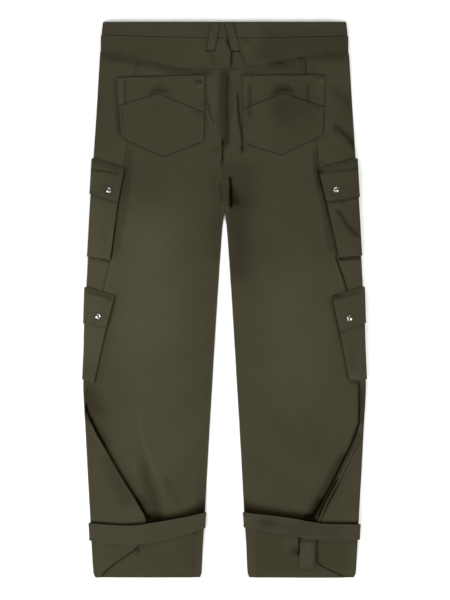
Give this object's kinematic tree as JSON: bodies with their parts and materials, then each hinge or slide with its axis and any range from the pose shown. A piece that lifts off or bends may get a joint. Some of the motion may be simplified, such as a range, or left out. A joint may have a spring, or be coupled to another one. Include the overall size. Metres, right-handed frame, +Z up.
{
  "type": "cargo pants",
  "caption": "Wide-leg cargo pants laid flat, back side up, with back patch pockets, flapped bellows pockets wrapped round each leg and strapped, pleated ankles.",
  "frame": {"origin": "bottom centre of the garment's box, on the surface it lies on", "axes": "+Y from hem to waist, +Z up from the surface, out of the garment's back side, +X towards the wearer's right side"},
  "size_m": [0.5534, 1.082, 0.0202],
  "materials": {
    "twill": "matt olive cotton twill",
    "metal": "polished nickel"
  },
  "bodies": {
    "root": {"waistband": "twill", "waist_button": "metal", "fly_placket": "twill", "belt_loop_back_left": "twill", "belt_loop_back_right": "twill", "belt_loop_front_left": "twill", "belt_loop_front_right": "twill", "belt_loop_side_left": "twill", "belt_loop_side_right": "twill", "yoke_left": "twill", "yoke_right": "twill", "back_left": "twill", "back_right": "twill", "side_left": "twill", "side_right": "twill", "front_left": "twill", "front_right": "twill", "back_pocket_upper_left": "twill", "back_pocket_upper_right": "twill", "back_pocket_lower_left": "twill", "back_pocket_lower_right": "twill", "cargo_upper_left": "twill", "cargo_upper_right": "twill", "cargo_lower_left": "twill", "cargo_lower_right": "twill", "flap_upper_left": "twill", "flap_upper_right": "twill", "flap_lower_left": "twill", "flap_lower_right": "twill", "snap_upper_left": "metal", "snap_upper_right": "metal", "snap_lower_left": "metal", "snap_lower_right": "metal", "strap_left": "twill", "strap_right": "twill", "strap_keeper": "twill"}
  },
  "joints": []
}
